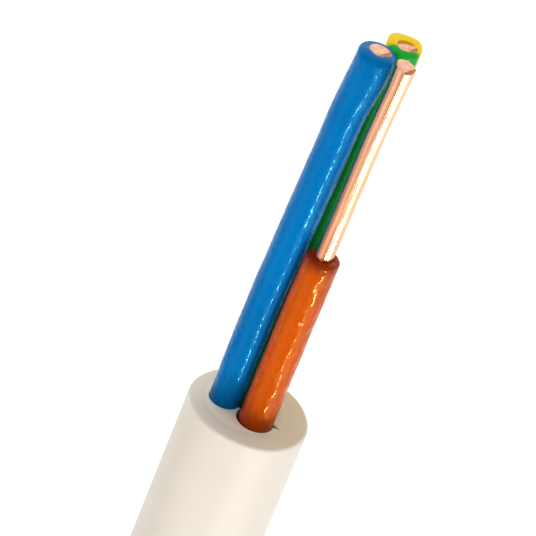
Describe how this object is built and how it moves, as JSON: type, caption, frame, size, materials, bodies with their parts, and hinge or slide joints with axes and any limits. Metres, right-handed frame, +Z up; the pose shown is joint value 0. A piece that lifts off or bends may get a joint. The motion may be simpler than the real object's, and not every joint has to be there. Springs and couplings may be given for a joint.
{
  "type": "ring of three-core sheathed electrical cable",
  "caption": "Flat ring of round sheathed installation cable held by cable ties, its free end stripped to coloured cores and bare copper.",
  "frame": {"origin": "at the level of the floor, under the middle of the ring with its bulge; the ring's axis passes a few millimetres beside it", "axes": "+Z up, parallel to the ring's axis; +X is the way the stripped end points; the free end lies on the -Y side"},
  "size_m": [0.2497, 0.2439, 0.0424],
  "materials": {
    "cream_sheath": "matt extruded PVC",
    "pale_filler": "chalky filling compound",
    "blue_insulation": "glossy extruded PVC",
    "brown_insulation": "glossy extruded PVC",
    "green_yellow_insulation": "glossy extruded PVC with lengthwise yellow stripes",
    "bare_copper": "bright drawn copper",
    "black_nylon": "moulded nylon"
  },
  "bodies": {
    "root": {"wound_turns": "cream_sheath", "cable_tie_1": "black_nylon", "cable_tie_2": "black_nylon", "cable_tie_3": "black_nylon", "cable_tie_4": "black_nylon", "tail_sheath": "cream_sheath", "inner_filler": "pale_filler", "blue_insulation": "blue_insulation", "brown_insulation": "brown_insulation", "green_yellow_insulation": "green_yellow_insulation", "blue_conductor": "bare_copper", "brown_conductor": "bare_copper", "green_yellow_conductor": "bare_copper"}
  },
  "joints": []
}
